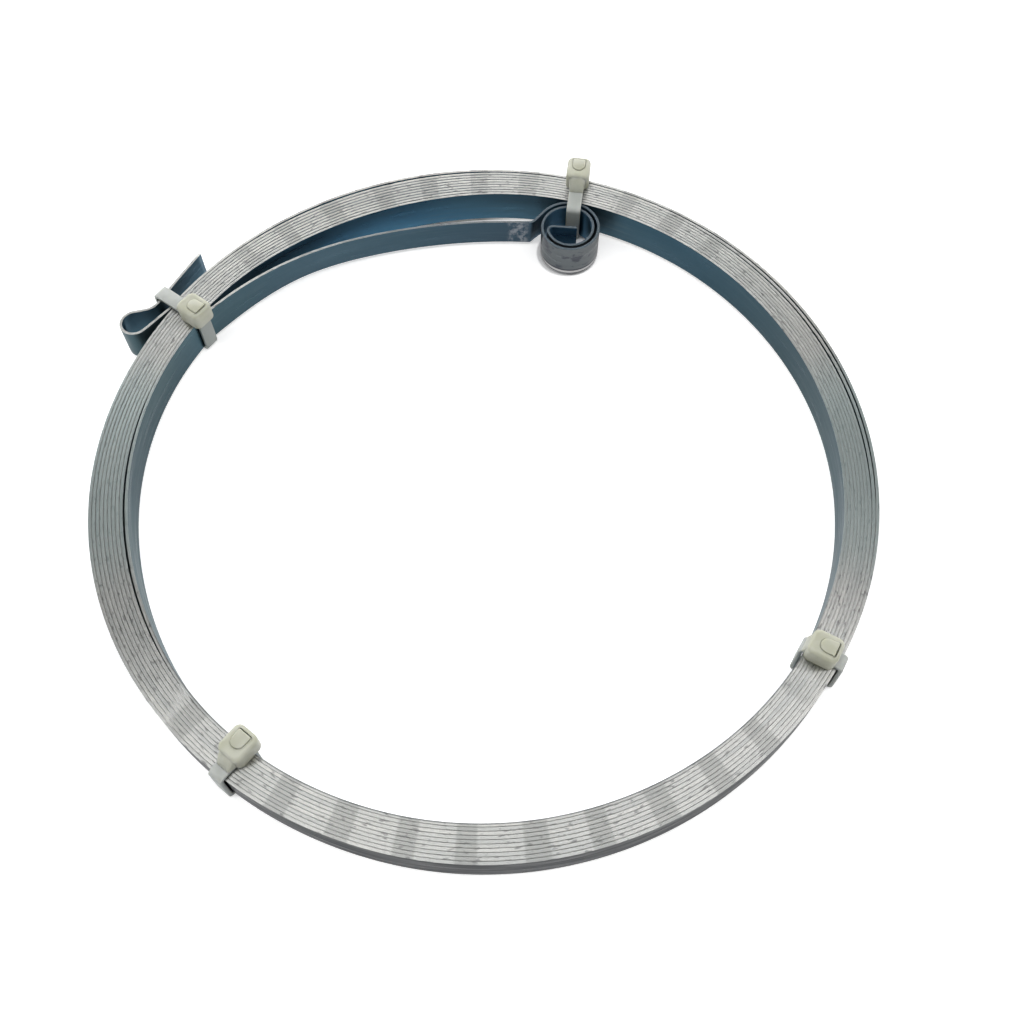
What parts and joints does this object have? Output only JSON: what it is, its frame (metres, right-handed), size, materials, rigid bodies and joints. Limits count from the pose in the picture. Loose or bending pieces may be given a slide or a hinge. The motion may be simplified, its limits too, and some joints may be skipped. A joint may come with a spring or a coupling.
{
  "type": "recoil starter spring",
  "caption": "Flat steel strip wound as a ring-shaped recoil spring, with a folded outer hook and a curled inner eye, held wound by nylon cable ties.",
  "frame": {"origin": "the coil's axis, at the plane that the straps of the ties rest on", "axes": "+Z along the coil's axis, up; +Y towards the curl's side of the ring; +X to the right of that, seen from above"},
  "size_m": [0.1293, 0.1297, 0.0112],
  "materials": {
    "spring_steel": "blue-tempered faces, bright rolled edges",
    "nylon": "natural nylon, slightly translucent"
  },
  "bodies": {
    "root": {"spring_strip": "spring_steel", "cable_tie_outer_hook": "nylon", "cable_tie_inner_end": "nylon", "cable_tie_front_right": "nylon", "cable_tie_front_left": "nylon"}
  },
  "joints": []
}
